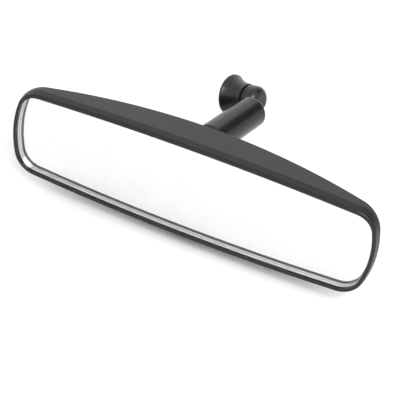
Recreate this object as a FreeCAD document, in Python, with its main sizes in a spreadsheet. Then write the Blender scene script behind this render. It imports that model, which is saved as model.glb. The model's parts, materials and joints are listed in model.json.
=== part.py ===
import FreeCAD, Part
import operator
import os
from math import asin, atan2, cos, degrees, radians, sin, sqrt

import Sketcher

# Interior rearview mirror: a wide prismatic mirror head on a double-ball arm, hung from a
# windscreen foot.  +Z is up, -Y is the driver's side, +X is to the driver's right.
# The origin is the centre of the foot's pad face, which is glued button side to the windscreen.

SIZES = [
    # mirror face and case
    ("window_width", 240.0, "clear glass width inside the rim"),
    ("window_height", 62.0, "clear glass height inside the rim, at the middle"),
    ("top_crown", 3.5, "how far the top edge drops from its middle to its ends"),
    ("bottom_crown", 4.74, "the same for the bottom edge"),
    ("end_crown", 7.18, "how far each end bulges"),
    ("top_corner", 12.5, "corner radius, top"),
    ("bottom_corner", 13.3, "corner radius, bottom"),
    ("bead_width", 2.5, "width of the rounded rim bead"),
    ("bead_round", 1.1, "rounding of the bead's two edges"),
    ("rim_flare", 1.0, "how far the rim band widens behind the bead"),
    ("rim_depth", 5.5, "depth of the flared rim band"),
    ("case_depth", 28.7, "bead to the back, at the middle"),
    ("end_depth", 6.12, "bead to the bowed back, at the case's two ends"),
    ("case_draft", 3.0, "draft of the case sides, in degrees"),
    ("case_wall", 2.2, "wall of the case"),
    ("ridge_round", 0.7, "rounding where the sides meet the back"),
    ("glass_recess", 2.2, "glass front behind the bead's crest"),
    ("glass_tuck", 0.4, "how far the glass reaches under the rim"),
    ("glass_gap", 0.15, "gap round the glass edge"),
    ("ledge_width", 4.0, "ledge behind the glass, inwards from the window"),
    ("ledge_thickness", 1.6, "thickness of that ledge"),
    # glass and what is on its back
    ("glass_thin", 3.2, "glass thickness at the bottom of the window"),
    ("glass_thick", 4.7, "glass thickness at the top of the window"),
    ("silver_thickness", 0.15, "silver and its paint"),
    ("film_thickness", 0.3, "safety film"),
    ("film_margin", 5.0, "film edge inside the window"),
    # day and night pivot
    ("hinge_depth", 17.0, "hinge axis behind the bead"),
    ("hinge_height", 25.0, "hinge axis above the middle"),
    ("hinge_pin_radius", 1.5, ""),
    ("running_gap", 0.05, "radial gap of every pin that turns"),
    ("bush_wall", 0.9, "nylon bush round the hinge pin"),
    ("ear_radius", 4.2, "round ends of the hinge ears"),
    ("carrier_half_width", 25.5, ""),
    ("carrier_ear", 5.5, "thickness of a carrier ear"),
    ("case_ear", 3.0, "thickness of a case ear"),
    ("side_gap", 0.3, "gap beside every moving ear or hub"),
    ("carrier_front", 15.0, "carrier plate behind the bead"),
    ("carrier_plate", 2.5, ""),
    ("hub_radius", 6.5, "hub that holds the ball stud"),
    ("hub_gap", 1.6, "gap between the hub and the hole in the case"),
    ("hub_stand", 0.5, "how far the hub stands out of the back"),
    # day and night lever
    ("lever_depth", 16.0, "lever pin behind the bead"),
    ("lever_drop", 24.0, "lever pin below the middle"),
    ("lever_pin_radius", 1.25, ""),
    ("lever_hub", 3.2, "radius of the lever's hub"),
    ("lever_lean", 18.0, "lean of the lever from upright, in degrees"),
    ("nose_reach", 5.0, "lever pin to the nose that the fork holds"),
    ("nose_radius", 1.3, "round head of the nose"),
    ("nose_stem", 0.9, "half the thickness of the bar below that head"),
    ("nose_half", 6.5, "half the nose's width"),
    ("fork_half", 7.0, "half the fork's width"),
    ("fork_bridge", 3.5, "height of the block that joins the prongs"),
    ("fork_gap", 0.15, "gap on each side of the nose"),
    ("fork_prong", 2.0, "thickness of a fork prong"),
    ("lever_width", 20.0, "width of the tab"),
    ("lever_thickness", 3.0, "thickness of the tab"),
    ("lever_length", 19.0, "lever pin to the tab's end"),
    ("slot_gap", 0.6, "gap round the tab in its slot"),
    ("spring_strip", 0.4, "thickness of the detent strip"),
    ("spring_half", 2.0, "half the height of the detent strip"),
    # ball joints
    ("ball_radius", 6.0, ""),
    ("ball_gap", 0.15, "gap on each side of a ball liner"),
    ("liner_wall", 0.5, ""),
    ("liner_share", 0.6, "half the height of a liner band, as a share of the ball's radius"),
    ("neck_radius", 2.9, "neck of a ball stud"),
    ("stud_shank", 3.0, "threaded shank of the lower stud"),
    ("stud_stand", 10.3, "lower ball behind the case's back"),
    ("stud_height", 19.5, "lower ball above the middle"),
    ("nut_height", 3.4, ""),
    ("nut_radius", 5.6, "across corners, halved"),
    ("washer_height", 1.0, ""),
    # arm
    ("arm_spacing", 43.0, "ball centre to ball centre"),
    ("arm_radius", 10.7, "outside of the arm tube"),
    ("arm_wall", 1.5, ""),
    ("arm_lip", 1.2, "thickness of the crimped lip"),
    ("arm_lip_radius", 7.4, "hole in the crimped lip"),
    ("arm_end", 4.0, "tube end beyond the ball's centre"),
    ("arm_round", 2.5, "rounding of the tube's ends"),
    ("ring_back", 2.5, "socket ring behind the ball's centre"),
    ("ring_nose", 3.6, "socket ring in front of the ball's centre"),
    ("ring_gap", 0.05, "gap round the ring and its nose"),
    ("seat_front", 2.9, "seat cup's front edge behind the ball's centre"),
    ("seat_back", 9.0, "seat cup's shoulder behind the ball's centre"),
    ("seat_pilot", 3.0, "height of the spring pilot"),
    ("pilot_radius", 5.0, ""),
    ("seat_bore", 2.0, "grease hole through the seat"),
    ("coil_radius", 6.6, "mean radius of the arm spring"),
    ("wire_radius", 0.9, ""),
    ("coil_turns", 5.0, ""),
    # foot
    ("pad_radius", 14.0, "round face against the windscreen"),
    ("pad_rim", 1.4, "straight edge of the pad"),
    ("bell_radius", 10.0, "narrow end of the bell"),
    ("bell_height", 13.9, ""),
    ("bell_hollow", 1.1, "how deep the bell's side curves in"),
    ("groove_radius", 8.4, "groove between bell and knuckle"),
    ("groove_width", 1.6, ""),
    ("knuckle_radius", 9.8, ""),
    ("knuckle_height", 22.5, "where the neck's axis meets the foot's, above the pad face"),
    ("knuckle_end", 26.2, "end of the knuckle above the pad face"),
    ("knuckle_round", 5.5, "rounding of the knuckle's end"),
    ("neck_length", 16.6, "upper ball to the knuckle centre"),
    ("shank_depth", 3.0, "stud shank beyond the knuckle centre"),
    ("button_radius", 9.0, "recess for the windscreen button"),
    ("button_depth", 5.2, ""),
    ("clip_pocket_radius", 7.5, "pocket for the clip, behind the button's recess"),
    ("clip_pocket_depth", 1.2, ""),
    ("clip_strip", 0.5, "thickness of the button clip"),
    ("clip_width", 7.0, ""),
    ("clip_length", 12.6, ""),
    # directions, in degrees: turn is from +Y towards +X, rise is upwards
    ("foot_turn", 107.8, "foot axis, from the pad into the foot"),
    ("foot_rise", 14.5, ""),
    ("neck_turn", -4.5, "upper ball towards the knuckle"),
    ("neck_rise", 4.3, ""),
    ("arm_turn", 13.0, "arm, from the lower ball to the upper"),
    ("arm_rise", 3.0, ""),
]

doc = FreeCAD.newDocument("rearview_mirror")
dims = doc.addObject("Spreadsheet::Sheet", "dims")
for row, (alias, number, note) in enumerate(SIZES, start=1):
    dims.set(f"A{row}", alias)
    dims.set(f"B{row}", str(number))
    dims.set(f"C{row}", note)
    dims.setAlias(f"B{row}", alias)
doc.recompute()

vector = FreeCAD.Vector
MARGIN = 5.0  # how far a cutting solid runs past what it cuts


class Size:
    """A length that carries both its number and the sheet expression that gives it."""

    def __init__(self, text, number):
        self.text = text
        self.number = number

    def join(self, sign, work, other, swapped=False):
        first, second = (as_size(other), self) if swapped else (self, as_size(other))
        return Size(f"({first.text} {sign} {second.text})", work(first.number, second.number))

    def __add__(self, other):
        return self.join("+", operator.add, other)

    def __radd__(self, other):
        return self.join("+", operator.add, other, swapped=True)

    def __sub__(self, other):
        return self.join("-", operator.sub, other)

    def __rsub__(self, other):
        return self.join("-", operator.sub, other, swapped=True)

    def __mul__(self, other):
        return self.join("*", operator.mul, other)

    def __rmul__(self, other):
        return self.join("*", operator.mul, other, swapped=True)

    def __truediv__(self, other):
        return self.join("/", operator.truediv, other)

    def __neg__(self):
        return Size(f"(-1 * {self.text})", -self.number)


class SheetNames:
    """Looks a size up by its alias: named.case_wall is the sheet's case_wall."""

    def __getattr__(self, alias):
        return Size("dims." + alias, float(dims.get(alias)))


def as_size(item):
    return item if isinstance(item, Size) else Size(str(item), float(item))


def sine(angle):
    return Size(f"sin({angle.text} * 1 deg)", sin(radians(angle.number)))


def cosine(angle):
    return Size(f"cos({angle.text} * 1 deg)", cos(radians(angle.number)))


def root(area):
    return Size(f"sqrt({area.text})", sqrt(area.number))


def bind(item, **sizes):
    """Binds properties to the sheet; a double underscore stands for a dot."""
    for name, size in sizes.items():
        item.setExpression(name.replace("__", "."), as_size(size).text)


named = SheetNames()
doc_parts = []


# ---------------------------------------------------------------- sketches and bodies

def new_body(label):
    body = doc.addObject("PartDesign::Body", label)
    body.Label = label
    return body


def origin_plane(body, role):
    return next(plane for plane in body.Origin.OriginFeatures if plane.Role == role)


def new_sketch(body, role, offset=0.0):
    """A sketch on one of the body's own origin planes, moved along that plane's normal."""
    sketch = body.newObject("Sketcher::SketchObject", "sketch")
    sketch.AttachmentSupport = [(origin_plane(body, role), "")]
    sketch.MapMode = "FlatFace"
    bind(sketch, AttachmentOffset__Base__z=offset)
    return sketch


def measure(sketch, kind, size, *ends):
    """Adds one dimension to a sketch and binds it to the sheet."""
    index = sketch.addConstraint(Sketcher.Constraint(kind, *ends, size.number))
    sketch.setExpression(f"Constraints[{index}]", size.text)


def pin_point(sketch, edge, end, across, up):
    """Fixes a point of the sketch at (across, up)."""
    for size, kind, axis in ((across, "DistanceX", -2), (up, "DistanceY", -1)):
        if size.number == 0.0:
            sketch.addConstraint(Sketcher.Constraint("PointOnObject", edge, end, axis))
        else:
            measure(sketch, kind, size, -1, 1, edge, end)


def draw_polygon(sketch, corners):
    """A closed outline of straight edges through (across, up) corners."""
    corners = [(as_size(across), as_size(up)) for across, up in corners]
    count = len(corners)
    for i in range(count):
        here, there = corners[i], corners[(i + 1) % count]
        start = vector(here[0].number, here[1].number, 0)
        stop = vector(there[0].number, there[1].number, 0)
        sketch.addGeometry(Part.LineSegment(start, stop), False)
    for i in range(count):
        sketch.addConstraint(Sketcher.Constraint("Coincident", i, 2, (i + 1) % count, 1))
    for i, (across, up) in enumerate(corners):
        pin_point(sketch, i, 1, across, up)


def draw_circle(sketch, across, up, radius):
    across, up, radius = as_size(across), as_size(up), as_size(radius)
    centre = vector(across.number, up.number, 0)
    index = sketch.addGeometry(Part.Circle(centre, vector(0, 0, 1), radius.number), False)
    pin_point(sketch, index, 3, across, up)
    measure(sketch, "Radius", radius, index)


def pad(body, sketch, length, taper=0.0, reverse=False, both=False):
    feature = body.newObject("PartDesign::Pad", "pad")
    feature.Profile = sketch
    bind(feature, Length=length)
    feature.Reversed = reverse
    feature.Midplane = both
    bind(feature, TaperAngle=taper)
    return feature


def pocket_through(body, sketch):
    """Cuts the sketch right through the body, both ways."""
    feature = body.newObject("PartDesign::Pocket", "pocket")
    feature.Profile = sketch
    feature.Type = "ThroughAll"
    feature.Midplane = True
    return feature


def turned(label, corners):
    """A body turned about its own Z axis from a profile of (radius, height) corners."""
    body = new_body(label)
    sketch = new_sketch(body, "XZ_Plane")
    draw_polygon(sketch, corners)
    turn = body.newObject("PartDesign::Revolution", "turn")
    turn.Profile = sketch
    turn.ReferenceAxis = (sketch, ["V_Axis"])
    turn.Angle = 360
    return body


def ball_feature(body, kind, radius, height=0.0):
    """Adds or cuts a sphere on the body's Z axis."""
    ball = body.newObject(kind, "ball")
    ball.AttachmentSupport = [(origin_plane(body, "XY_Plane"), "")]
    ball.MapMode = "FlatFace"
    bind(ball, Radius=radius, AttachmentOffset__Base__z=height)
    return ball


def round_edges(body, radius, wanted):
    """Fillets the edges of the body's latest feature for which wanted(edge) is true."""
    doc.recompute()
    base = body.Tip
    names = [f"Edge{i}" for i, edge in enumerate(base.Shape.Edges, start=1) if wanted(edge)]
    fillet = body.newObject("PartDesign::Fillet", "fillet")
    fillet.Base = (base, names)
    bind(fillet, Radius=radius)
    return fillet


# ---------------------------------------------------------------- plain solids and booleans

def box(low, high):
    """A block between two corners, each a list of three sizes."""
    block = doc.addObject("Part::Box", "block")
    low, high = [as_size(item) for item in low], [as_size(item) for item in high]
    bind(block, Length=high[0] - low[0], Width=high[1] - low[1], Height=high[2] - low[2])
    bind(block, Placement__Base__x=low[0], Placement__Base__y=low[1], Placement__Base__z=low[2])
    return block


def rod(axis, start, length, radius):
    """A round bar along X or Y from its starting point."""
    bar = doc.addObject("Part::Cylinder", "bar")
    turns = {"x": FreeCAD.Rotation(vector(0, 1, 0), 90),
             "y": FreeCAD.Rotation(vector(1, 0, 0), -90)}
    bar.Placement = FreeCAD.Placement(vector(0, 0, 0), turns[axis])
    bind(bar, Radius=radius, Height=length)
    bind(bar, Placement__Base__x=start[0], Placement__Base__y=start[1], Placement__Base__z=start[2])
    return bar


def fused(label, pieces):
    if len(pieces) == 1:
        return pieces[0]
    whole = doc.addObject("Part::MultiFuse", label)
    whole.Label = label
    whole.Shapes = pieces
    return whole


def cut(label, base, tools):
    result = doc.addObject("Part::Cut", label)
    result.Label = label
    result.Base = base
    result.Tool = fused(label + "_tools", tools)
    return result


# ---------------------------------------------------------------- frames

def heading(turn, rise):
    """The unit vector at a turn from +Y towards +X and a rise."""
    turn, rise = radians(turn.number), radians(rise.number)
    return vector(sin(turn) * cos(rise), cos(turn) * cos(rise), sin(rise))


stud_depth = named.case_depth + named.stud_stand
foot_axis = heading(named.foot_turn, named.foot_rise)
neck_axis = heading(named.neck_turn, named.neck_rise)
arm_axis = heading(named.arm_turn, named.arm_rise)
knuckle = foot_axis * named.knuckle_height.number
upper_ball = knuckle - neck_axis * named.neck_length.number
lower_ball = upper_ball - arm_axis * named.arm_spacing.number
head_origin = lower_ball - vector(0, stud_depth.number, named.stud_height.number)

Z_AXIS = vector(0, 0, 1)
HEAD = FreeCAD.Placement(head_origin, FreeCAD.Rotation())
FOOT = FreeCAD.Placement(vector(0, 0, 0), FreeCAD.Rotation(Z_AXIS, foot_axis))
NECK = FreeCAD.Placement(upper_ball, FreeCAD.Rotation(Z_AXIS, neck_axis))
ARM = FreeCAD.Placement(lower_ball, FreeCAD.Rotation(Z_AXIS, arm_axis))
ARM_UPPER = FreeCAD.Placement(upper_ball, FreeCAD.Rotation(Z_AXIS, arm_axis))
ARM_LOWER = FreeCAD.Placement(lower_ball, FreeCAD.Rotation(Z_AXIS, -arm_axis))
STUD = FreeCAD.Placement(lower_ball, FreeCAD.Rotation(Z_AXIS, vector(0, -1, 0)))


def keep(item, place):
    """Puts a finished piece in its place and lists it for writing out."""
    item.Placement = place
    doc_parts.append(item)
    return item


# ---------------------------------------------------------------- mirror outline

half_width = named.window_width / 2
half_height = named.window_height / 2
case_offset = named.bead_width + named.rim_flare
silver_front = as_size(0)
film_front = named.silver_thickness
film_back = film_front + named.film_thickness
ledge_back = film_front + named.ledge_thickness


def crown_radius(chord, crown):
    """Radius of the arc that rises by crown over half a chord."""
    return (chord * chord + crown * crown) / (2 * crown)


back_radius = crown_radius(half_width + case_offset, named.case_depth - named.end_depth)


def meeting_point(first, first_radius, second, second_radius):
    """Where two circles meet, on the side away from the middle."""
    gap = second - first
    along = (first_radius ** 2 - second_radius ** 2 + gap.Length ** 2) / (2 * gap.Length)
    aside = sqrt(first_radius ** 2 - along ** 2)
    unit = gap / gap.Length
    choices = [first + unit * along + vector(-unit.y, unit.x, 0) * side for side in (aside, -aside)]
    return max(choices, key=lambda point: point.Length)


def draw_outline(sketch, offset):
    """Four crowned sides joined by round corners, all moved outwards by offset."""
    offset = as_size(offset)
    top = crown_radius(half_width, named.top_crown) + offset
    bottom = crown_radius(half_width, named.bottom_crown) + offset
    end = crown_radius(half_height, named.end_crown) + offset
    corners = [named.top_corner + offset, named.top_corner + offset,
               named.bottom_corner + offset, named.bottom_corner + offset]
    reach_up, reach_out = half_height + offset, half_width + offset
    # sides in order: right, top, left, bottom, each with its centre and radius
    centres = [(reach_out - end, as_size(0)), (as_size(0), reach_up - top),
               (end - reach_out, as_size(0)), (as_size(0), bottom - reach_up)]
    radii = [end, top, end, bottom]
    points = [vector(across.number, up.number, 0) for across, up in centres]
    joints = []
    for i, corner in enumerate(corners):
        first, second = i, (i + 1) % 4
        middle = meeting_point(points[first], radii[first].number - corner.number,
                               points[second], radii[second].number - corner.number)
        ends = [points[side] + (middle - points[side]).normalize() * radii[side].number
                for side in (first, second)]
        joints.append((middle, ends[0], ends[1], corner))
    for i in range(4):
        start, stop = joints[i - 1][2], joints[i][1]
        add_arc(sketch, points[i], radii[i].number, start, stop)
        middle, start, stop, corner = joints[i]
        add_arc(sketch, middle, corner.number, start, stop)
    for i in range(8):
        sketch.addConstraint(Sketcher.Constraint("Tangent", i, 2, (i + 1) % 8, 1))
    for i in range(4):
        measure(sketch, "Radius", radii[i], 2 * i)
        measure(sketch, "Radius", corners[i], 2 * i + 1)
        pin_point(sketch, 2 * i, 3, *centres[i])


def add_arc(sketch, centre, radius, start, stop):
    angles = [atan2((point - centre).y, (point - centre).x) for point in (start, stop)]
    circle = Part.Circle(centre, vector(0, 0, 1), radius)
    sketch.addGeometry(Part.ArcOfCircle(circle, angles[0], angles[1]), False)


def slab(label, offset, front, length, taper=0.0):
    """A body with the mirror's outline, from a depth behind the bead towards the back."""
    body = new_body(label)
    sketch = new_sketch(body, "XZ_Plane", -as_size(front))
    draw_outline(sketch, offset)
    pad(body, sketch, length, taper, reverse=True)
    return body


def bow_back(body, depth, radius):
    """Cuts everything behind the bowed back, an arc in plan."""
    sketch = new_sketch(body, "XY_Plane")
    reach = half_width + 4 * MARGIN
    rear = named.case_depth + 4 * MARGIN
    edge = depth - radius + root(radius * radius - reach * reach)
    corners = [(reach, edge), (reach, rear), (-reach, rear), (-reach, edge)]
    for (across, up), (next_across, next_up) in zip(corners, corners[1:]):
        start = vector(across.number, up.number, 0)
        stop = vector(next_across.number, next_up.number, 0)
        sketch.addGeometry(Part.LineSegment(start, stop), False)
    centre = vector(0, depth.number - radius.number, 0)
    add_arc(sketch, centre, radius.number, vector(reach.number, edge.number, 0),
            vector(-reach.number, edge.number, 0))
    for i in range(2):
        sketch.addConstraint(Sketcher.Constraint("Coincident", i, 2, i + 1, 1))
    sketch.addConstraint(Sketcher.Constraint("Coincident", 2, 2, 3, 2))
    sketch.addConstraint(Sketcher.Constraint("Coincident", 0, 1, 3, 1))
    pin_point(sketch, 3, 3, as_size(0), depth - radius)
    measure(sketch, "Radius", radius, 3)
    pin_point(sketch, 1, 1, reach, rear)
    pin_point(sketch, 2, 1, -reach, rear)
    sketch.addConstraint(Sketcher.Constraint("Vertical", 0))
    sketch.addConstraint(Sketcher.Constraint("Vertical", 2))
    pocket_through(body, sketch)


def slope_cut(body, low_depth, high_depth, keep_front):
    """Cuts a body along the plane that runs from low_depth at the window's foot to high_depth."""
    slope = (high_depth - low_depth) / named.window_height
    reach = half_height + 3 * MARGIN
    foot_depth = low_depth - slope * 3 * MARGIN
    head_depth = high_depth + slope * 3 * MARGIN
    far = named.case_depth + 4 * MARGIN if keep_front else as_size(-4 * MARGIN)
    sketch = new_sketch(body, "YZ_Plane")
    draw_polygon(sketch, [(foot_depth, -reach), (far, -reach), (far, reach), (head_depth, reach)])
    pocket_through(body, sketch)


# depths of the planes behind the glass, at the window's foot and head
def behind_glass(extra):
    return (named.glass_recess + named.glass_thin + extra,
            named.glass_recess + named.glass_thick + extra)


def make_glass():
    body = slab("mirror_glass", named.glass_tuck, named.glass_recess,
                named.glass_thick + MARGIN)
    slope_cut(body, *behind_glass(silver_front), keep_front=True)
    return body


def make_coat(label, offset, front, back):
    """A thin sheet that follows the glass's sloping back."""
    body = slab(label, offset, named.glass_recess, named.glass_thick + MARGIN)
    slope_cut(body, *behind_glass(back), keep_front=True)
    slope_cut(body, *behind_glass(front), keep_front=False)
    return body


# ---------------------------------------------------------------- case

lever_axis = (named.lever_depth, -named.lever_drop)
hinge_axis = (named.hinge_depth, named.hinge_height)
rib_reach = half_height + case_offset - named.case_wall * 0.75
case_ear_inner = named.carrier_half_width + named.side_gap
case_ear_outer = case_ear_inner + named.case_ear
lever_half = named.lever_width / 2
strip_reach = named.lever_hub + named.running_gap
lever_rib_inner = lever_half + named.side_gap
lever_rib_outer = lever_rib_inner + named.case_ear
slot_half = (rib_reach + named.case_wall - named.lever_drop) * (
    sine(named.lever_lean) / cosine(named.lever_lean)) + named.lever_thickness / 2 + named.slot_gap


def make_case():
    flare = Size("atan(dims.rim_flare / dims.rim_depth) / 1 deg",
                 degrees(atan2(named.rim_flare.number, named.rim_depth.number)))
    outer = slab("case_outside", named.bead_width, 0.0, named.rim_depth, flare)
    rear = new_sketch(outer, "XZ_Plane", -named.rim_depth)
    draw_outline(rear, case_offset)
    pad(outer, rear, named.case_depth, -named.case_draft, reverse=True)
    bow_back(outer, named.case_depth, back_radius)
    ridge_depth = named.case_depth.number - back_radius.number
    round_edges(outer, named.ridge_round, lambda edge: on_back(edge, ridge_depth))
    round_edges(outer, named.bead_round, lambda edge: edge.BoundBox.YMax < 0.01)

    window = slab("case_window", 0.0, -MARGIN, named.glass_recess + MARGIN)
    recess = slab("case_recess", named.glass_tuck + named.glass_gap, named.glass_recess,
                  named.glass_thick + MARGIN)
    slope_cut(recess, *behind_glass(film_front), keep_front=True)
    opening = slab("case_ledge_opening", -named.ledge_width, named.glass_recess,
                   named.glass_thick + 2 * MARGIN)
    slope_cut(opening, *behind_glass(ledge_back + MARGIN / 4), keep_front=True)
    bow_back(opening, named.case_depth - named.case_wall, back_radius - named.case_wall)
    cavity = slab("case_cavity", case_offset - named.case_wall, named.rim_depth,
                  named.case_depth, -named.case_draft)
    bow_back(cavity, named.case_depth - named.case_wall, back_radius - named.case_wall)
    slope_cut(cavity, *behind_glass(ledge_back), keep_front=False)
    hub_hole = rod("y", (0, named.case_depth - 2 * MARGIN, named.stud_height), 4 * MARGIN,
                   named.hub_radius + named.hub_gap)
    slot_side = lever_half + named.slot_gap
    slot = box([-slot_side, named.lever_depth - slot_half, -rib_reach - 2 * MARGIN],
               [slot_side, named.lever_depth + slot_half, -rib_reach + MARGIN / 2])
    shell = cut("case_hollow", outer, [window, recess, opening, cavity, hub_hole, slot])

    added, bored = [], []
    for side in (-1, 1):
        ears = ((case_ear_inner, case_ear_outer, hinge_axis, named.ear_radius, rib_reach),
                (lever_rib_inner, lever_rib_outer, lever_axis, strip_reach, -rib_reach))
        for inner, outside, axis, radius, root_height in ears:
            low, high = (inner, outside) if side > 0 else (-outside, -inner)
            hangs = root_height.number > 0
            below, above = (axis[1], root_height) if hangs else (root_height, axis[1])
            added.append(box([low, axis[0] - radius, below], [high, axis[0] + radius, above]))
            added.append(rod("x", (low, axis[0], axis[1]), high - low, radius))
    bored.append(rod("x", (-case_ear_outer - 1, *hinge_axis), 2 * case_ear_outer + 2,
                     named.hinge_pin_radius))
    bored.append(rod("x", (-lever_rib_outer - 1, *lever_axis), 2 * lever_rib_outer + 2,
                     named.lever_pin_radius))
    return cut("case_shell", fused("case_with_ears", [shell, *added]), bored)


def on_back(edge, centre_depth):
    """True for an edge that lies on the bowed back."""
    for parameter in (edge.FirstParameter, (edge.FirstParameter + edge.LastParameter) / 2):
        point = edge.valueAt(parameter)
        distance = sqrt(point.x ** 2 + (point.y - centre_depth) ** 2)
        if abs(distance - back_radius.number) > 0.01:
            return False
    return True


# ---------------------------------------------------------------- carrier, lever and pins

nose_depth = named.lever_depth - named.nose_reach * sine(named.lever_lean)
nose_drop = named.lever_drop - named.nose_reach * cosine(named.lever_lean)
carrier_back = named.carrier_front + named.carrier_plate
carrier_ear_inner = named.carrier_half_width - named.carrier_ear
hub_back = named.case_depth + named.hub_stand
bush_radius = named.hinge_pin_radius + named.running_gap + named.bush_wall
fork_front = nose_depth - named.nose_radius - named.fork_gap
fork_rear = nose_depth + named.nose_radius + named.fork_gap
fork_root = nose_drop - named.nose_radius * 2
fork_tip = nose_drop + named.nose_radius / 2


def make_carrier():
    wide, back, fork = named.carrier_half_width, carrier_back, named.fork_half
    front_face, rear_face = fork_front - named.fork_prong, fork_rear + named.fork_prong
    overlap = named.fork_bridge / 3
    pieces = [
        box([-wide, named.carrier_front, -fork_root + 2 * overlap],
            [wide, back, named.hinge_height - overlap]),
        box([-fork, front_face, -fork_root], [fork, rear_face, -fork_root + named.fork_bridge]),
        box([-fork, front_face, -fork_tip], [fork, fork_front, -fork_root + overlap]),
        box([-fork, fork_rear, -fork_tip], [fork, rear_face, -fork_root + overlap]),
        rod("y", (0, named.carrier_front, named.stud_height), hub_back - named.carrier_front,
            named.hub_radius),
    ]
    holes = [rod("y", (0, named.carrier_front - 1, named.stud_height), hub_back, named.stud_shank)]
    for low, high in ((-wide, -carrier_ear_inner), (carrier_ear_inner, wide)):
        pieces.append(rod("x", (low, *hinge_axis), high - low, named.ear_radius))
        pieces.append(box([low, named.carrier_front, named.hinge_height - 2 * named.ear_radius],
                          [high, back + named.ear_radius / 2, named.hinge_height]))
        holes.append(rod("x", (low, *hinge_axis), high - low, bush_radius))
    return cut("pivot_carrier", fused("carrier_solid", pieces), holes)


def grouped(label, pieces):
    """One node of one or more separate solids."""
    group = doc.addObject("Part::Compound", label)
    group.Label = label
    group.Links = pieces
    return group


def make_hinge_pin(side):
    length = case_ear_outer - carrier_ear_inner
    start = carrier_ear_inner if side > 0 else -case_ear_outer
    return rod("x", (start, *hinge_axis), length, named.hinge_pin_radius)


def make_bush(side):
    start = carrier_ear_inner if side > 0 else -named.carrier_half_width
    outside = rod("x", (start, *hinge_axis), named.carrier_ear, bush_radius)
    inside = rod("x", (start, *hinge_axis), named.carrier_ear,
                 named.hinge_pin_radius + named.running_gap)
    return cut("hinge_bush", outside, [inside])


def make_lever():
    """Built upright about its pin: the nose is above and the tab below."""
    thick = named.lever_thickness / 2
    tab_end = -named.lever_length + thick
    nose, stem = named.nose_half, named.nose_stem
    solid = fused("lever_solid", [
        rod("x", (-lever_half, 0, 0), named.lever_width, named.lever_hub),
        box([-nose, -stem, 0], [nose, stem, named.nose_reach]),
        rod("x", (-nose, 0, named.nose_reach), 2 * nose, named.nose_radius),
        box([-lever_half, -thick, tab_end], [lever_half, thick, 0]),
        rod("x", (-lever_half, 0, tab_end), named.lever_width, thick),
    ])
    bore = rod("x", (-lever_half - 1, 0, 0), named.lever_width + 2,
               named.lever_pin_radius + named.running_gap)
    return cut("day_night_lever", solid, [bore])


def make_detent():
    """A flat strip across the fronts of the lever's two ribs, which presses on the lever's hub."""
    back = named.lever_depth - strip_reach
    body = new_body("detent_spring")
    sketch = new_sketch(body, "YZ_Plane")
    low = -named.lever_drop - named.spring_half
    high = -named.lever_drop + named.spring_half
    draw_polygon(sketch, [(back - named.spring_strip, low), (back, low), (back, high),
                          (back - named.spring_strip, high)])
    pad(body, sketch, 2 * lever_rib_outer, both=True)
    return body


# ---------------------------------------------------------------- ball joints

socket_radius = named.ball_radius + 2 * named.ball_gap + named.liner_wall
tube_bore = named.arm_radius - named.arm_wall
lip_face = named.arm_end - named.arm_lip


def make_liner(label):
    """A spherical band between a ball and its socket, open at both ends."""
    inside = named.ball_radius + named.ball_gap
    outside = inside + named.liner_wall
    reach = named.liner_share * named.ball_radius / outside
    latitude = Size(f"asin({reach.text}) / 1 deg", degrees(asin(reach.number)))
    body = new_body(label)
    band = ball_feature(body, "PartDesign::AdditiveSphere", outside)
    bind(band, Angle1=-latitude, Angle2=latitude)
    ball_feature(body, "PartDesign::SubtractiveSphere", inside)
    return body


def make_socket_ring(label):
    """Sits against the crimped lip and holds the ball in."""
    nose = named.arm_lip_radius - named.ring_gap
    body = turned(label, [
        (socket_radius, -named.ring_back), (tube_bore - named.ring_gap, -named.ring_back),
        (tube_bore - named.ring_gap, lip_face), (nose, lip_face), (nose, named.ring_nose),
        (named.neck_radius, named.ring_nose), (named.neck_radius, 0), (socket_radius, 0)])
    ball_feature(body, "PartDesign::SubtractiveSphere", socket_radius)
    return body


def make_seat(label):
    """The cup that the arm spring presses against the ball, with a pilot for the spring."""
    outside = tube_bore - named.running_gap
    body = turned(label, [
        (named.seat_bore, -named.seat_front), (outside, -named.seat_front),
        (outside, -named.seat_back), (named.pilot_radius, -named.seat_back),
        (named.pilot_radius, -named.seat_back - named.seat_pilot),
        (named.seat_bore, -named.seat_back - named.seat_pilot)])
    ball_feature(body, "PartDesign::SubtractiveSphere", socket_radius)
    return body


def make_stud(label, neck_end, shank_radius, shank_end):
    """A ball with a neck and a shank, along +Z from the ball's centre."""
    body = turned(label, [(0, 0), (named.neck_radius, 0), (named.neck_radius, neck_end),
                          (shank_radius, neck_end), (shank_radius, shank_end), (0, shank_end)])
    ball_feature(body, "PartDesign::AdditiveSphere", named.ball_radius)
    return body


def make_nut():
    """A hexagon nut on the lower stud's shank."""
    body = new_body("stud_nut")
    sketch = new_sketch(body, "XY_Plane", nut_front)
    half = named.nut_radius / 2
    tall = named.nut_radius * root(as_size(3)) / 2
    draw_polygon(sketch, [(named.nut_radius, 0), (half, tall), (-half, tall),
                          (-named.nut_radius, 0), (-half, -tall), (half, -tall)])
    draw_circle(sketch, 0, 0, named.stud_shank)
    pad(body, sketch, named.nut_height)
    return body


# ---------------------------------------------------------------- arm

def make_arm_tube():
    low, high = -named.arm_end, named.arm_spacing + named.arm_end
    low_lip, high_lip = low + named.arm_lip, high - named.arm_lip
    body = turned("arm_tube", [
        (named.arm_radius, low), (named.arm_radius, high), (named.arm_lip_radius, high),
        (named.arm_lip_radius, high_lip), (tube_bore, high_lip), (tube_bore, low_lip),
        (named.arm_lip_radius, low_lip), (named.arm_lip_radius, low)])
    outside = named.arm_radius.number

    def end_edge(edge):
        reach = edge.BoundBox.XMax
        flat = edge.BoundBox.ZLength < 0.01
        return flat and abs(reach - outside) < 0.01

    round_edges(body, named.arm_round, end_edge)
    return body


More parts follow.
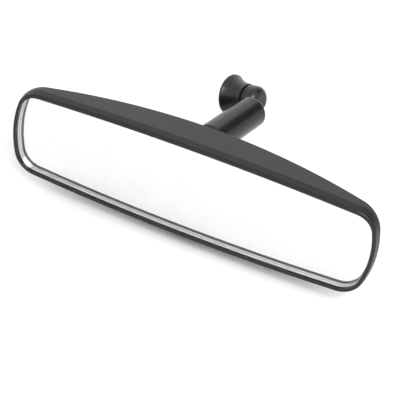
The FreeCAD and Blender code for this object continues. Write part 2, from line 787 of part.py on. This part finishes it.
def make_arm_spring():
    gap = 0.1
    start = named.seat_back + named.wire_radius + gap
    height = named.arm_spacing - 2 * start
    body = new_body("arm_spring")
    sketch = new_sketch(body, "XZ_Plane")
    draw_circle(sketch, named.coil_radius, start, named.wire_radius)
    coil = body.newObject("PartDesign::AdditiveHelix", "coil")
    coil.Profile = sketch
    coil.ReferenceAxis = (sketch, ["V_Axis"])
    coil.Mode = "pitch-height-angle"
    bind(coil, Pitch=height / named.coil_turns, Height=height)
    return body


# ---------------------------------------------------------------- foot

def hollow_bell(body):
    """Curves the bell's side inwards with a ring of round section that passes both its ends."""
    inward, tall = named.pad_radius - named.bell_radius, named.bell_height - named.pad_rim
    chord = root(inward * inward + tall * tall)
    bend = chord * chord / (8 * named.bell_hollow) + named.bell_hollow / 2
    reach = bend - named.bell_hollow
    ring = body.newObject("PartDesign::SubtractiveTorus", "hollow")
    ring.AttachmentSupport = [(origin_plane(body, "XY_Plane"), "")]
    ring.MapMode = "FlatFace"
    middle_radius = (named.pad_radius + named.bell_radius) / 2 + tall / chord * reach
    middle_height = (named.pad_rim + named.bell_height) / 2 + inward / chord * reach
    bind(ring, Radius1=middle_radius, Radius2=bend, AttachmentOffset__Base__z=middle_height)


def make_foot():
    """A bell-shaped casting on a round pad, with a knuckle that carries the upper ball stud."""
    groove_top = named.bell_height + named.groove_width
    roof = named.button_depth + named.clip_pocket_depth
    bell = turned("foot_outside", [
        (named.button_radius, 0), (named.pad_radius, 0), (named.pad_radius, named.pad_rim),
        (named.bell_radius, named.bell_height), (named.groove_radius, named.bell_height + 0.4),
        (named.groove_radius, groove_top), (named.knuckle_radius, groove_top + 0.6),
        (named.knuckle_radius, named.knuckle_end), (0, named.knuckle_end),
        (0, roof), (named.clip_pocket_radius, roof),
        (named.clip_pocket_radius, named.button_depth),
        (named.button_radius, named.button_depth)])
    top = named.knuckle_end.number
    round_edges(bell, named.knuckle_round,
                lambda edge: edge.BoundBox.ZMin > top - 0.01 and edge.BoundBox.XLength > 1)
    hollow_bell(bell)
    shank = doc.addObject("Part::Cylinder", "shank_hole")
    bind(shank, Radius=named.stud_shank, Height=named.neck_length + named.shank_depth)
    shank.Placement = FOOT.inverse().multiply(NECK)
    return cut("foot_body", bell, [shank])


def make_button_clip():
    """A bowed spring strip in the pocket behind the button's recess."""
    body = new_body("button_clip")
    sketch = new_sketch(body, "XZ_Plane")
    ends, middle = named.clip_length / 2, named.clip_length / 4
    roof, drop = named.button_depth + named.clip_pocket_depth, named.clip_strip
    draw_polygon(sketch, [
        (-ends, roof), (-ends, roof - drop), (-middle, roof - 2 * drop), (middle, roof - 2 * drop),
        (ends, roof - drop), (ends, roof), (middle, roof - drop), (-middle, roof - drop)])
    pad(body, sketch, named.clip_width, both=True)
    return body


# ---------------------------------------------------------------- assembly

keep(make_case(), HEAD)
keep(make_glass(), HEAD)
keep(make_coat("silver_coating", named.glass_tuck, silver_front, film_front), HEAD)
keep(make_coat("safety_film", -named.film_margin, film_front, film_back), HEAD)
keep(make_carrier(), HEAD)
keep(grouped("hinge_pins", [make_hinge_pin(side) for side in (-1, 1)]), HEAD)
keep(grouped("hinge_bushes", [make_bush(side) for side in (-1, 1)]), HEAD)

lever_place = FreeCAD.Placement(
    head_origin + vector(0, lever_axis[0].number, lever_axis[1].number),
    FreeCAD.Rotation(vector(1, 0, 0), named.lever_lean.number))
keep(make_lever(), lever_place)
lever_pin = rod("x", (-lever_rib_outer, *lever_axis), 2 * lever_rib_outer, named.lever_pin_radius)
keep(grouped("lever_pin", [lever_pin]), HEAD)
keep(make_detent(), HEAD)

neck_end = stud_depth - hub_back
washer_front = stud_depth - named.carrier_front
nut_front = washer_front + named.washer_height
nut_end = nut_front + named.nut_height
keep(make_stud("lower_ball_stud", neck_end, named.stud_shank, nut_end + 0.4), STUD)
keep(turned("stud_washer", [
    (named.stud_shank, washer_front), (named.hub_radius, washer_front),
    (named.hub_radius, nut_front), (named.stud_shank, nut_front)]), STUD)
keep(make_nut(), STUD)
keep(make_stud("upper_ball_stud", named.neck_length / 2, named.stud_shank,
               named.neck_length + named.shank_depth), NECK)

keep(make_arm_tube(), ARM)
keep(make_arm_spring(), ARM)
for end, place in (("lower", ARM_LOWER), ("upper", ARM_UPPER)):
    keep(make_socket_ring(f"{end}_socket_ring"), place)
    keep(make_seat(f"{end}_ball_seat"), place)
# each liner leans with the outer hinge of its ball, so its band stays clear of the neck
liner_axes = {
    "lower": (lower_ball, heading(as_size(180), -named.arm_rise)),
    "upper": (upper_ball, heading(named.arm_turn, named.neck_rise)),
}
for end, (centre, axis) in liner_axes.items():
    keep(make_liner(f"{end}_ball_liner"),
         FreeCAD.Placement(centre, FreeCAD.Rotation(Z_AXIS, axis)))

keep(make_foot(), FOOT)
keep(make_button_clip(), FOOT)

doc.recompute()
for item in doc.Objects:
    if "Invalid" in item.State or "Error" in item.State:
        raise RuntimeError(f"{item.Label} failed: {item.State}")
os.makedirs("parts", exist_ok=True)
for item in doc_parts:
    shape = item.Shape
    if shape.isNull() or not shape.isValid() or not shape.Solids:
        raise RuntimeError(f"{item.Label} has no sound solid")
    shape.exportStep(f"parts/{item.Label}.step")
    size = shape.BoundBox
    print(f"{item.Label:18s} {len(shape.Solids)} solid(s) {shape.Volume:9.1f} mm3 "
          f"{size.XLength:6.1f} x {size.YLength:6.1f} x {size.ZLength:6.1f}")
for name, point in (("upper ball", upper_ball), ("lower ball", lower_ball), ("head", head_origin)):
    print(name, [round(number, 3) for number in point])
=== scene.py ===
import json
from math import radians

import bmesh
import bpy
from mathutils import Matrix, Vector


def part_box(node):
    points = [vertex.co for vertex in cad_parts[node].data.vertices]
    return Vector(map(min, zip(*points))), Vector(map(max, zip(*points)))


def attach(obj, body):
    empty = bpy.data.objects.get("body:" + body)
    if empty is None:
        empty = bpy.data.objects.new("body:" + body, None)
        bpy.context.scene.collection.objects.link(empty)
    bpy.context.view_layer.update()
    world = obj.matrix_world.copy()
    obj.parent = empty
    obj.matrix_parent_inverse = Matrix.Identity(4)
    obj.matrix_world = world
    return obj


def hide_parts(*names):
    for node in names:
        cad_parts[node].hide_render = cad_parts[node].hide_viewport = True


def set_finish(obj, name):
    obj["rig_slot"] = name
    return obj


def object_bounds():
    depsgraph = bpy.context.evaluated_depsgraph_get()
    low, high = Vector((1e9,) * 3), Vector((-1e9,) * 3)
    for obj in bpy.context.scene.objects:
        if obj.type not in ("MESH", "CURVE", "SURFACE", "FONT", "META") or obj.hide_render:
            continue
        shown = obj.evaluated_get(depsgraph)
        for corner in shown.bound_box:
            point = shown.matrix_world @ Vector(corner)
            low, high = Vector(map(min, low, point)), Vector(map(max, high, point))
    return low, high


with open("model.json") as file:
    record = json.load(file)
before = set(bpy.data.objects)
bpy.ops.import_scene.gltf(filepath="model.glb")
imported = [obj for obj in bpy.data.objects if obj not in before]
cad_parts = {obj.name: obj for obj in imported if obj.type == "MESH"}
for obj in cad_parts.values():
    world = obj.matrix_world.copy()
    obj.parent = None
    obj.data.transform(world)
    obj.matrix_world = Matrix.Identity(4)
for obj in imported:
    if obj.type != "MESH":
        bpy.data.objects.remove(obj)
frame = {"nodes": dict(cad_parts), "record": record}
cad_low, cad_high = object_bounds()
nodes = frame["nodes"]

# ---------------------------------------------------------------- where things are
case_low, case_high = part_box("case_shell")
# centre of the rim's crest plane: every camera distance is measured from it
head = Vector(((case_low.x + case_high.x) / 2, case_low.y, (case_low.z + case_high.z) / 2))


# how far a bevelled normal leaves the true one: its cosine on an open face and on a sharp edge
FLAT_DOT = 0.995
SHARP_DOT = 0.7


# ---------------------------------------------------------------- node helpers
def add(tree, kind, inputs=None, **settings):
    """Makes a node, sets its settings and fills or links its inputs."""
    item = tree.nodes.new(kind)
    for key, value in settings.items():
        setattr(item, key, value)
    for key, value in (inputs or {}).items():
        socket = item.inputs[key]
        if isinstance(value, bpy.types.NodeSocket):
            tree.links.new(value, socket)
        else:
            socket.default_value = value
    return item


def blank(name):
    """A material with one Principled shader wired to its output."""
    material = bpy.data.materials.new(name)
    material.use_nodes = True
    tree = material.node_tree
    tree.nodes.clear()
    shader = add(tree, "ShaderNodeBsdfPrincipled")
    output = add(tree, "ShaderNodeOutputMaterial")
    tree.links.new(shader.outputs[0], output.inputs[0])
    return material, tree, shader


def place(tree, stretch=None):
    """Coordinates in metres that ride with the piece, stretched along an axis if asked."""
    here = add(tree, "ShaderNodeTexCoord").outputs["Object"]
    if stretch is None:
        return here
    return add(tree, "ShaderNodeVectorMath", {0: here, 1: stretch}, operation="MULTIPLY").outputs[0]


def noise(tree, here, scale, detail=3.0, roughness=0.55):
    inputs = {"Vector": here, "Scale": scale, "Detail": detail, "Roughness": roughness}
    return add(tree, "ShaderNodeTexNoise", inputs).outputs["Fac"]


def cells(tree, here, scale):
    inputs = {"Vector": here, "Scale": scale}
    return add(tree, "ShaderNodeTexVoronoi", inputs, feature="F1").outputs["Distance"]


def spread(tree, value, low, high, to_low, to_high):
    """Maps a value's range low..high onto to_low..to_high, clamped."""
    inputs = {"Value": value, "From Min": low, "From Max": high,
              "To Min": to_low, "To Max": to_high}
    return add(tree, "ShaderNodeMapRange", inputs).outputs[0]


def work(tree, operation, first, second):
    return add(tree, "ShaderNodeMath", {0: first, 1: second}, operation=operation).outputs[0]


def blend(tree, share, first, second):
    """Colour between first and second by share."""
    item = add(tree, "ShaderNodeMix", {0: share}, data_type="RGBA")
    for index, colour in ((6, first), (7, second)):
        if isinstance(colour, bpy.types.NodeSocket):
            tree.links.new(colour, item.inputs[index])
        else:
            item.inputs[index].default_value = (*colour, 1.0)
    return item.outputs[2]


def edges(tree, radius):
    """1 on edges sharper than the radius, 0 on open faces."""
    soft = add(tree, "ShaderNodeBevel", {"Radius": radius}, samples=6).outputs[0]
    sharp = add(tree, "ShaderNodeNewGeometry").outputs["Normal"]
    dot = add(tree, "ShaderNodeVectorMath", {0: soft, 1: sharp}, operation="DOT_PRODUCT")
    return spread(tree, dot.outputs["Value"], FLAT_DOT, SHARP_DOT, 0.0, 1.0)


def bump(tree, height, depth, below=None):
    """Normal of a surface raised by height times depth, over the normal below if one is given."""
    inputs = {"Height": height, "Distance": depth, "Strength": 1.0}
    if below is not None:
        inputs["Normal"] = below
    return add(tree, "ShaderNodeBump", inputs).outputs[0]


def give(tree, shader, **sockets):
    """Links or sets the shader's inputs; underscores stand for spaces."""
    for key, value in sockets.items():
        socket = shader.inputs[key.replace("_", " ")]
        if isinstance(value, bpy.types.NodeSocket):
            tree.links.new(value, socket)
        else:
            socket.default_value = value


# ---------------------------------------------------------------- materials
def grained_plastic(name, dark, light, worn, grain, depth, gloss, polished=None, shine=0.5):
    """Moulded plastic: pebbled grain, faint clouding, fine dust specks and rubbed edges.

    In front of the depth `polished` the mould is smooth, as on the rim's bead.
    """
    material, tree, shader = blank(name)
    here = place(tree)
    clouds = noise(tree, here, 38.0, 4.0)
    fine = noise(tree, here, 1.3 / grain, 2.0, 0.6)
    pebbles = cells(tree, here, 1.0 / grain)
    dust = spread(tree, noise(tree, here, 2.6 / grain, 1.0, 0.5), 0.66, 0.78, 0.0, 0.35)
    tone = work(tree, "ADD", work(tree, "MULTIPLY", clouds, 0.65), work(tree, "MULTIPLY", fine, 0.35))
    colour = blend(tree, spread(tree, tone, 0.32, 0.68, 0.0, 1.0), dark, light)
    colour = blend(tree, dust, colour, worn)
    patchy = spread(tree, fine, 0.35, 0.6, 0.18, 0.6)
    rubbed = work(tree, "MULTIPLY", edges(tree, 0.0007), patchy)
    colour = blend(tree, rubbed, colour, worn)
    rough = spread(tree, clouds, 0.3, 0.7, gloss[0], gloss[1])
    rough = work(tree, "SUBTRACT", rough, work(tree, "MULTIPLY", rubbed, 0.12))
    height = work(tree, "ADD", pebbles, work(tree, "MULTIPLY", fine, 0.6))
    if polished is not None:
        depth_here = add(tree, "ShaderNodeSeparateXYZ", {0: here}).outputs["Y"]
        grained = spread(tree, depth_here, polished, polished + 0.0006, 0.0, 1.0)
        rough = work(tree, "MULTIPLY", rough, spread(tree, grained, 0.0, 1.0, 0.45, 1.0))
        height = work(tree, "MULTIPLY", height, spread(tree, grained, 0.0, 1.0, 0.12, 1.0))
    give(tree, shader, Base_Color=colour, Roughness=rough, Normal=bump(tree, height, depth),
         Specular_IOR_Level=shine)
    return material


def painted_metal(name, dark, light, chip, gloss, peel, depth):
    """Semi-gloss paint on metal: orange peel, clouding, faint rub marks and thin edges."""
    material, tree, shader = blank(name)
    here = place(tree)
    clouds = noise(tree, here, 90.0, 3.0)
    skin = noise(tree, here, peel, 2.0, 0.5)
    rubs = noise(tree, place(tree, (1.0, 0.06, 1.0)), 1500.0, 2.0, 0.6)
    colour = blend(tree, spread(tree, clouds, 0.3, 0.7, 0.0, 1.0), dark, light)
    thin = work(tree, "MULTIPLY", edges(tree, 0.0004), spread(tree, skin, 0.4, 0.65, 0.1, 0.5))
    colour = blend(tree, thin, colour, chip)
    rough = spread(tree, work(tree, "ADD", clouds, rubs), 0.7, 1.3, gloss[0], gloss[1])
    height = work(tree, "ADD", skin, work(tree, "MULTIPLY", rubs, 0.25))
    give(tree, shader, Base_Color=colour, Roughness=rough, Normal=bump(tree, height, depth))
    return material


def machined_steel(name, dark, light, gloss, stretch, scale, depth, tint):
    """Turned or drawn steel: fine lay lines along one way, tarnish patches, bright edges."""
    material, tree, shader = blank(name)
    here = place(tree)
    lay = noise(tree, place(tree, stretch), scale, 3.0, 0.65)
    patches = noise(tree, here, 160.0, 4.0, 0.6)
    colour = blend(tree, spread(tree, lay, 0.3, 0.7, 0.0, 1.0), dark, light)
    colour = blend(tree, spread(tree, patches, 0.5, 0.75, 0.0, 0.35), colour, tint)
    colour = blend(tree, work(tree, "MULTIPLY", edges(tree, 0.0003), 0.5), colour, light)
    rough = spread(tree, work(tree, "ADD", lay, patches), 0.7, 1.3, gloss[0], gloss[1])
    give(tree, shader, Base_Color=colour, Metallic=1.0, Roughness=rough,
         Normal=bump(tree, lay, depth))
    return material


def moulded_nylon(name, dark, light, gloss, depth, scatter=0.0):
    """Unpainted nylon: waxy, faint flow lines and rounded bright edges."""
    material, tree, shader = blank(name)
    here = place(tree)
    flow = noise(tree, place(tree, (1.0, 0.3, 1.0)), 420.0, 4.0, 0.6)
    fine = noise(tree, here, 2600.0, 2.0)
    colour = blend(tree, spread(tree, flow, 0.3, 0.7, 0.0, 1.0), dark, light)
    colour = blend(tree, work(tree, "MULTIPLY", edges(tree, 0.0004), 0.4), colour, light)
    rough = spread(tree, flow, 0.3, 0.7, gloss[0], gloss[1])
    height = work(tree, "ADD", flow, work(tree, "MULTIPLY", fine, 0.5))
    give(tree, shader, Base_Color=colour, Roughness=rough, Normal=bump(tree, height, depth),
         Subsurface_Weight=scatter, Subsurface_Scale=0.0008)
    return material


def prism_glass(name):
    """Clear polished faces; the ground edge all round is bright, half mirror-like and chipped.

    The index is under real glass's 1.52, so that the front face shows more of the bottom edge.
    """
    material, tree, shader = blank(name)
    here = place(tree)
    normal = add(tree, "ShaderNodeNewGeometry").outputs["True Normal"]
    facing = add(tree, "ShaderNodeSeparateXYZ", {0: normal}).outputs["Y"]
    side = spread(tree, work(tree, "ABSOLUTE", facing, 0.0), 0.75, 0.55, 0.0, 1.0)
    grit = noise(tree, here, 900.0, 4.0, 0.7)
    chips = spread(tree, noise(tree, here, 230.0, 5.0, 0.7), 0.66, 0.69, 0.0, 1.0)
    frosted = spread(tree, grit, 0.3, 0.7, 0.0, 1.0)
    ground = blend(tree, frosted, (0.95, 0.96, 0.96), (1.0, 1.0, 1.0))
    ground = blend(tree, chips, ground, (0.10, 0.11, 0.11))
    colour = blend(tree, side, (0.985, 0.995, 0.99), ground)
    smears = spread(tree, noise(tree, here, 26.0, 5.0, 0.65), 0.55, 0.8, 0.0, 0.012)
    rough = work(tree, "ADD", work(tree, "MULTIPLY", side, 0.4), smears)
    clear = work(tree, "SUBTRACT", 1.0, side)
    height = work(tree, "MULTIPLY", side, grit)
    give(tree, shader, Base_Color=colour, Roughness=rough, Transmission_Weight=clear, IOR=1.25,
         Metallic=work(tree, "MULTIPLY", side, 0.75),
         Coat_Weight=0.8, Coat_IOR=1.5, Coat_Roughness=0.0,
         Normal=bump(tree, height, 0.00005, below=normal))
    return material


def silvering(name):
    """Slightly dull silver on the glass side, grey backing paint on the other."""
    material, tree, shader = blank(name)
    here = place(tree)
    normal = add(tree, "ShaderNodeNewGeometry").outputs["True Normal"]
    facing = add(tree, "ShaderNodeSeparateXYZ", {0: normal}).outputs["Y"]
    back = spread(tree, facing, 0.2, 0.5, 0.0, 1.0)
    clouds = noise(tree, here, 60.0, 4.0)
    brush = noise(tree, place(tree, (0.15, 1.0, 1.0)), 900.0, 3.0, 0.6)
    paint = blend(tree, clouds, (0.16, 0.15, 0.15), (0.24, 0.22, 0.21))
    cloudy = spread(tree, clouds, 0.3, 0.7, 0.0, 1.0)
    silver = blend(tree, cloudy, (0.765, 0.77, 0.765), (0.79, 0.795, 0.79))
    rough = work(tree, "MULTIPLY", back, spread(tree, brush, 0.3, 0.7, 0.4, 0.6))
    give(tree, shader, Base_Color=blend(tree, back, silver, paint),
         Metallic=work(tree, "SUBTRACT", 1.0, back), Roughness=rough,
         Normal=bump(tree, work(tree, "MULTIPLY", back, brush), 0.00003, below=normal))
    return material


def adhesive_film(name):
    """Crazed yellowish film with small trapped bubbles."""
    material, tree, shader = blank(name)
    here = place(tree)
    clouds = noise(tree, here, 70.0, 4.0)
    bubbles = spread(tree, cells(tree, here, 260.0), 0.08, 0.14, 1.0, 0.0)
    colour = blend(tree, clouds, (0.40, 0.39, 0.33), (0.60, 0.59, 0.52))
    colour = blend(tree, bubbles, colour, (0.72, 0.71, 0.66))
    give(tree, shader, Base_Color=colour, Roughness=spread(tree, clouds, 0.3, 0.7, 0.35, 0.55),
         Normal=bump(tree, work(tree, "ADD", bubbles, clouds), 0.00008))
    return material


def studio_floor(name):
    """Nearly white matt paper with a faint change of tone."""
    material, tree, shader = blank(name)
    tone = noise(tree, place(tree), 1.5, 2.0)
    colour = blend(tree, tone, (0.93, 0.93, 0.935), (0.95, 0.95, 0.95))
    give(tree, shader, Base_Color=colour, Roughness=0.9, Specular_IOR_Level=0.1)
    return material


BEAD_FRONT = 0.0011  # depth of the smooth front of the rim's bead, behind its crest

looks = {
    "case_plastic": grained_plastic("case_plastic", (0.008, 0.008, 0.009), (0.014, 0.014, 0.016),
                                    (0.050, 0.050, 0.053), 0.00055, 0.00005, (0.36, 0.44),
                                    polished=head.y + BEAD_FRONT, shine=0.28),
    "lever_plastic": grained_plastic("lever_plastic", (0.008, 0.008, 0.009), (0.014, 0.014, 0.015),
                                     (0.055, 0.055, 0.055), 0.0007, 0.00006, (0.34, 0.44)),
    "carrier_plastic": grained_plastic("carrier_plastic", (0.012, 0.012, 0.012),
                                       (0.026, 0.025, 0.024), (0.07, 0.07, 0.065), 0.0011, 0.00007,
                                       (0.36, 0.52)),
    "arm_paint": painted_metal("arm_paint", (0.004, 0.004, 0.004), (0.008, 0.008, 0.008),
                               (0.045, 0.045, 0.045), (0.15, 0.22), 700.0, 0.000006),
    "foot_paint": painted_metal("foot_paint", (0.006, 0.006, 0.006), (0.011, 0.011, 0.011),
                                (0.05, 0.05, 0.05), (0.24, 0.34), 1200.0, 0.000012),
    "bright_steel": machined_steel("bright_steel", (0.42, 0.42, 0.43), (0.70, 0.70, 0.70),
                                   (0.18, 0.34), (1.0, 0.05, 1.0), 2200.0, 0.00001,
                                   (0.50, 0.47, 0.38)),
    "spring_steel": machined_steel("spring_steel", (0.20, 0.20, 0.21), (0.38, 0.38, 0.39),
                                   (0.25, 0.42), (0.2, 1.0, 1.0), 2600.0, 0.00001,
                                   (0.24, 0.20, 0.15)),
    "nylon": moulded_nylon("nylon", (0.66, 0.64, 0.57), (0.82, 0.81, 0.75), (0.34, 0.48), 0.00002,
                           0.15),
    "liner_nylon": moulded_nylon("liner_nylon", (0.04, 0.04, 0.04), (0.075, 0.075, 0.075),
                                 (0.35, 0.5), 0.00002),
    "mirror_glass": prism_glass("mirror_glass"),
    "silver": silvering("silver"),
    "film": adhesive_film("film"),
}
for part in frame["record"]["subparts"]:
    piece = nodes[part["node"]]
    piece.data.materials.clear()
    piece.data.materials.append(looks[part["material_slot"]])
    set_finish(piece, part["material_slot"])

# ---------------------------------------------------------------- glass with ground arrises
AIR_FILM = 0.00003  # clearance behind the glass, so that it never shares a face with the silver
ARRIS = 0.0003  # width of the ground corner round each face
SAME_FACE = 0.5  # faces that turn by less than this, in degrees, are one face
CORNER = 60.0  # edges that turn by more than this, in degrees, get an arris


def grind(node, body):
    """The node's own solid with its sharp edges ground off, standing for the node."""
    piece = bpy.data.objects.new("ground_glass", nodes[node].data.copy())
    bpy.context.scene.collection.objects.link(piece)
    form = bmesh.new()
    form.from_mesh(piece.data)
    bmesh.ops.remove_doubles(form, verts=form.verts, dist=1e-6)
    bmesh.ops.dissolve_limit(form, angle_limit=radians(SAME_FACE), verts=form.verts,
                             edges=form.edges)
    form.normal_update()
    rear = {vert for face in form.faces if face.normal.y > 0.9 for vert in face.verts}
    for vert in rear:
        vert.co.y -= AIR_FILM
    sharp = [edge for edge in form.edges if edge.calc_face_angle(0.0) > radians(CORNER)]
    bmesh.ops.bevel(form, geom=sharp, offset=ARRIS, segments=2, profile=0.5, affect="EDGES",
                    clamp_overlap=True)
    bmesh.ops.triangulate(form, faces=form.faces)
    form.to_mesh(piece.data)
    form.free()
    for name in ("custom_normal", "sharp_face"):
        if name in piece.data.attributes:
            piece.data.attributes.remove(piece.data.attributes[name])
    for face in piece.data.polygons:
        face.use_smooth = False
    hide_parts(node)
    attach(piece, body)
    return piece


glass = grind("mirror_glass", "case")
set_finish(glass, "mirror_glass")
# the hidden node gives its slot to the piece that stands for it
nodes["mirror_glass"].pop("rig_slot", None)

# ---------------------------------------------------------------- floor
FLOOR_SIZE = 8.0
FLOOR_GAP = 0.0002  # floor below the object's lowest point
bpy.ops.mesh.primitive_plane_add(size=FLOOR_SIZE, location=(head.x, head.y, cad_low.z - FLOOR_GAP))
floor = bpy.context.object
floor.name = "floor"
floor.data.materials.append(studio_floor("studio_floor"))


# ---------------------------------------------------------------- light
def softbox(name, where, aim, size, power):
    """A square area lamp; where it stands and what it aims at are measured from the rim's centre."""
    lamp = bpy.data.lights.new(name, "AREA")
    lamp.shape = "SQUARE"
    lamp.size = size
    lamp.energy = power
    holder = bpy.data.objects.new(name, lamp)
    bpy.context.scene.collection.objects.link(holder)
    holder.location = head + Vector(where)
    holder.rotation_euler = (Vector(aim) - Vector(where)).to_track_quat("-Z", "Y").to_euler()


softbox("front_box", (0.34, -0.50, 0.62), (0.05, 0.0, 0.0), 0.45, 5.5)

world = bpy.data.worlds.new("studio")
bpy.context.scene.world = world
world.use_nodes = True
sky = world.node_tree
toward = add(sky, "ShaderNodeTexCoord").outputs["Generated"]


def patch(middle, rim, core, strength):
    """A soft round patch of the tent: 1 outside the cosine rim, strength inside the cosine core."""
    inputs = {0: toward, 1: Vector(middle).normalized()}
    near = add(sky, "ShaderNodeVectorMath", inputs, operation="DOT_PRODUCT").outputs["Value"]
    return spread(sky, near, rim, core, 1.0, strength)


# a white tent with a dark gap high at the back right, and a brighter wall behind the mirror,
# which the top of the case reflects
gap = patch((0.54, 0.54, 0.64), 0.88, 0.98, 0.2)
wall = patch((-0.24, 0.78, 0.57), 0.70, 0.95, 1.4)
sky.links.new(work(sky, "MULTIPLY", gap, wall), sky.nodes["Background"].inputs["Strength"])
sky.nodes["Background"].inputs["Color"].default_value = (1.0, 1.0, 1.0, 1.0)

# ---------------------------------------------------------------- camera
# where the eye is from the rim's centre, and the directions of the picture's right and depth
eye = head + Vector((0.15849, -0.48286, 0.35309))
right = Vector((0.90953, 0.38762, 0.15004)).normalized()
ahead = Vector((-0.23901, 0.78308, -0.57416)).normalized()
up = right.cross(ahead).normalized()
camera_data = bpy.data.cameras.new("camera")
camera_data.sensor_width = 36.0
camera_data.lens = 90.0
camera_data.clip_start = 0.01
camera_data.clip_end = 20.0
camera = bpy.data.objects.new("camera", camera_data)
bpy.context.scene.collection.objects.link(camera)
rows = [(right[axis], up[axis], -ahead[axis], eye[axis]) for axis in range(3)]
camera.matrix_world = Matrix([*rows, (0.0, 0.0, 0.0, 1.0)])
bpy.context.scene.camera = camera
bpy.context.scene.view_settings.view_transform = "Standard"
bpy.context.scene.view_settings.look = "None"
